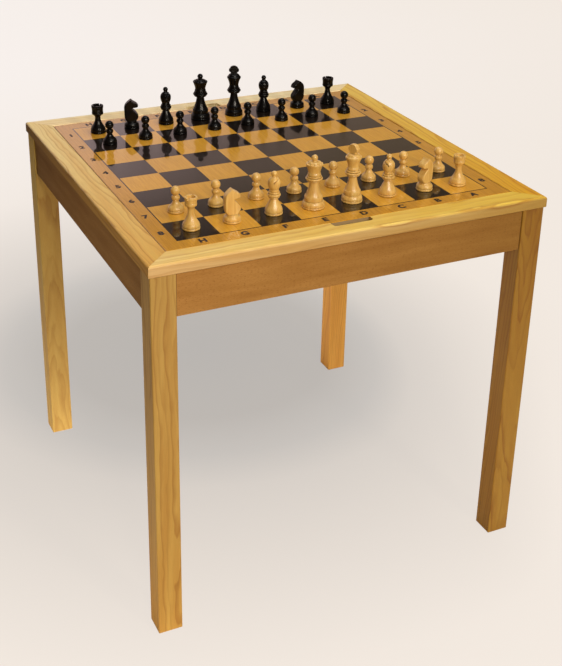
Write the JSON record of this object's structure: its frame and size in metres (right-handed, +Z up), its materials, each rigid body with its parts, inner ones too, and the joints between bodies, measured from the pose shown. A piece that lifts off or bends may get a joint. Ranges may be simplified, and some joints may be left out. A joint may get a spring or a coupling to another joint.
{
  "type": "chess table",
  "caption": "Square wooden chess table with mitred rails, a lift-out inlaid board over a shallow tray, and turned light and dark chessmen.",
  "frame": {"origin": "on the floor, under the middle of the table", "axes": "+X to the right and +Z up; the light chessmen stand along the front edge, at -Y"},
  "size_m": [0.556, 0.556, 0.6157],
  "materials": {
    "board_wood": "gloss lacquer",
    "plywood": "raw",
    "steel": "zinc plated",
    "pine": "satin lacquer",
    "beech": "satin lacquer",
    "plain_pine": "raw",
    "boxwood": "satin lacquer",
    "ebonised": "gloss lacquer"
  },
  "bodies": {
    "table": {"leg_front_right": "pine", "leg_back_right": "pine", "leg_back_left": "pine", "leg_front_left": "pine", "apron_front": "beech", "apron_right": "beech", "apron_back": "beech", "apron_left": "beech", "rail_front": "pine", "rail_right": "pine", "rail_back": "pine", "rail_left": "pine", "ledger_front": "plain_pine", "ledger_right": "plain_pine", "ledger_back": "plain_pine", "ledger_left": "plain_pine", "block_front_right": "plain_pine", "block_back_right": "plain_pine", "block_back_left": "plain_pine", "block_front_left": "plain_pine", "tray_floor": "plywood", "hanger_bolts": "steel", "washers": "steel", "wing_nuts": "steel", "ledger_screws": "steel", "rail_screws": "steel", "block_screws": "steel"},
    "board": {"board": "board_wood"},
    "white_rook_left": {"white_rook_left": "boxwood"},
    "white_knight_left": {"white_knight_left": "boxwood"},
    "white_bishop_left": {"white_bishop_left": "boxwood"},
    "white_queen": {"white_queen": "boxwood"},
    "white_king": {"white_king": "boxwood"},
    "white_bishop_right": {"white_bishop_right": "boxwood"},
    "white_knight_right": {"white_knight_right": "boxwood"},
    "white_rook_right": {"white_rook_right": "boxwood"},
    "white_pawn_1": {"white_pawn_1": "boxwood"},
    "white_pawn_2": {"white_pawn_2": "boxwood"},
    "white_pawn_3": {"white_pawn_3": "boxwood"},
    "white_pawn_4": {"white_pawn_4": "boxwood"},
    "white_pawn_5": {"white_pawn_5": "boxwood"},
    "white_pawn_6": {"white_pawn_6": "boxwood"},
    "white_pawn_7": {"white_pawn_7": "boxwood"},
    "white_pawn_8": {"white_pawn_8": "boxwood"},
    "black_rook_left": {"black_rook_left": "ebonised"},
    "black_knight_left": {"black_knight_left": "ebonised"},
    "black_bishop_left": {"black_bishop_left": "ebonised"},
    "black_queen": {"black_queen": "ebonised"},
    "black_king": {"black_king": "ebonised"},
    "black_bishop_right": {"black_bishop_right": "ebonised"},
    "black_knight_right": {"black_knight_right": "ebonised"},
    "black_rook_right": {"black_rook_right": "ebonised"},
    "black_pawn_1": {"black_pawn_1": "ebonised"},
    "black_pawn_2": {"black_pawn_2": "ebonised"},
    "black_pawn_3": {"black_pawn_3": "ebonised"},
    "black_pawn_4": {"black_pawn_4": "ebonised"},
    "black_pawn_5": {"black_pawn_5": "ebonised"},
    "black_pawn_6": {"black_pawn_6": "ebonised"},
    "black_pawn_7": {"black_pawn_7": "ebonised"},
    "black_pawn_8": {"black_pawn_8": "ebonised"}
  },
  "joints": [
    {"name": "board_lift", "type": "slide", "parent": "table", "child": "board", "axis": [0, 0, 1], "range_m": [0, 0.15]},
    {"name": "white_rook_left_lift", "type": "slide", "parent": "board", "child": "white_rook_left", "axis": [0, 0, 1], "range_m": [0, 0.1]},
    {"name": "white_knight_left_lift", "type": "slide", "parent": "board", "child": "white_knight_left", "axis": [0, 0, 1], "range_m": [0, 0.1]},
    {"name": "white_bishop_left_lift", "type": "slide", "parent": "board", "child": "white_bishop_left", "axis": [0, 0, 1], "range_m": [0, 0.1]},
    {"name": "white_queen_lift", "type": "slide", "parent": "board", "child": "white_queen", "axis": [0, 0, 1], "range_m": [0, 0.1]},
    {"name": "white_king_lift", "type": "slide", "parent": "board", "child": "white_king", "axis": [0, 0, 1], "range_m": [0, 0.1]},
    {"name": "white_bishop_right_lift", "type": "slide", "parent": "board", "child": "white_bishop_right", "axis": [0, 0, 1], "range_m": [0, 0.1]},
    {"name": "white_knight_right_lift", "type": "slide", "parent": "board", "child": "white_knight_right", "axis": [0, 0, 1], "range_m": [0, 0.1]},
    {"name": "white_rook_right_lift", "type": "slide", "parent": "board", "child": "white_rook_right", "axis": [0, 0, 1], "range_m": [0, 0.1]},
    {"name": "white_pawn_1_lift", "type": "slide", "parent": "board", "child": "white_pawn_1", "axis": [0, 0, 1], "range_m": [0, 0.1]},
    {"name": "white_pawn_2_lift", "type": "slide", "parent": "board", "child": "white_pawn_2", "axis": [0, 0, 1], "range_m": [0, 0.1]},
    {"name": "white_pawn_3_lift", "type": "slide", "parent": "board", "child": "white_pawn_3", "axis": [0, 0, 1], "range_m": [0, 0.1]},
    {"name": "white_pawn_4_lift", "type": "slide", "parent": "board", "child": "white_pawn_4", "axis": [0, 0, 1], "range_m": [0, 0.1]},
    {"name": "white_pawn_5_lift", "type": "slide", "parent": "board", "child": "white_pawn_5", "axis": [0, 0, 1], "range_m": [0, 0.1]},
    {"name": "white_pawn_6_lift", "type": "slide", "parent": "board", "child": "white_pawn_6", "axis": [0, 0, 1], "range_m": [0, 0.1]},
    {"name": "white_pawn_7_lift", "type": "slide", "parent": "board", "child": "white_pawn_7", "axis": [0, 0, 1], "range_m": [0, 0.1]},
    {"name": "white_pawn_8_lift", "type": "slide", "parent": "board", "child": "white_pawn_8", "axis": [0, 0, 1], "range_m": [0, 0.1]},
    {"name": "black_rook_left_lift", "type": "slide", "parent": "board", "child": "black_rook_left", "axis": [0, 0, 1], "range_m": [0, 0.1]},
    {"name": "black_knight_left_lift", "type": "slide", "parent": "board", "child": "black_knight_left", "axis": [0, 0, 1], "range_m": [0, 0.1]},
    {"name": "black_bishop_left_lift", "type": "slide", "parent": "board", "child": "black_bishop_left", "axis": [0, 0, 1], "range_m": [0, 0.1]},
    {"name": "black_queen_lift", "type": "slide", "parent": "board", "child": "black_queen", "axis": [0, 0, 1], "range_m": [0, 0.1]},
    {"name": "black_king_lift", "type": "slide", "parent": "board", "child": "black_king", "axis": [0, 0, 1], "range_m": [0, 0.1]},
    {"name": "black_bishop_right_lift", "type": "slide", "parent": "board", "child": "black_bishop_right", "axis": [0, 0, 1], "range_m": [0, 0.1]},
    {"name": "black_knight_right_lift", "type": "slide", "parent": "board", "child": "black_knight_right", "axis": [0, 0, 1], "range_m": [0, 0.1]},
    {"name": "black_rook_right_lift", "type": "slide", "parent": "board", "child": "black_rook_right", "axis": [0, 0, 1], "range_m": [0, 0.1]},
    {"name": "black_pawn_1_lift", "type": "slide", "parent": "board", "child": "black_pawn_1", "axis": [0, 0, 1], "range_m": [0, 0.1]},
    {"name": "black_pawn_2_lift", "type": "slide", "parent": "board", "child": "black_pawn_2", "axis": [0, 0, 1], "range_m": [0, 0.1]},
    {"name": "black_pawn_3_lift", "type": "slide", "parent": "board", "child": "black_pawn_3", "axis": [0, 0, 1], "range_m": [0, 0.1]},
    {"name": "black_pawn_4_lift", "type": "slide", "parent": "board", "child": "black_pawn_4", "axis": [0, 0, 1], "range_m": [0, 0.1]},
    {"name": "black_pawn_5_lift", "type": "slide", "parent": "board", "child": "black_pawn_5", "axis": [0, 0, 1], "range_m": [0, 0.1]},
    {"name": "black_pawn_6_lift", "type": "slide", "parent": "board", "child": "black_pawn_6", "axis": [0, 0, 1], "range_m": [0, 0.1]},
    {"name": "black_pawn_7_lift", "type": "slide", "parent": "board", "child": "black_pawn_7", "axis": [0, 0, 1], "range_m": [0, 0.1]},
    {"name": "black_pawn_8_lift", "type": "slide", "parent": "board", "child": "black_pawn_8", "axis": [0, 0, 1], "range_m": [0, 0.1]}
  ]
}
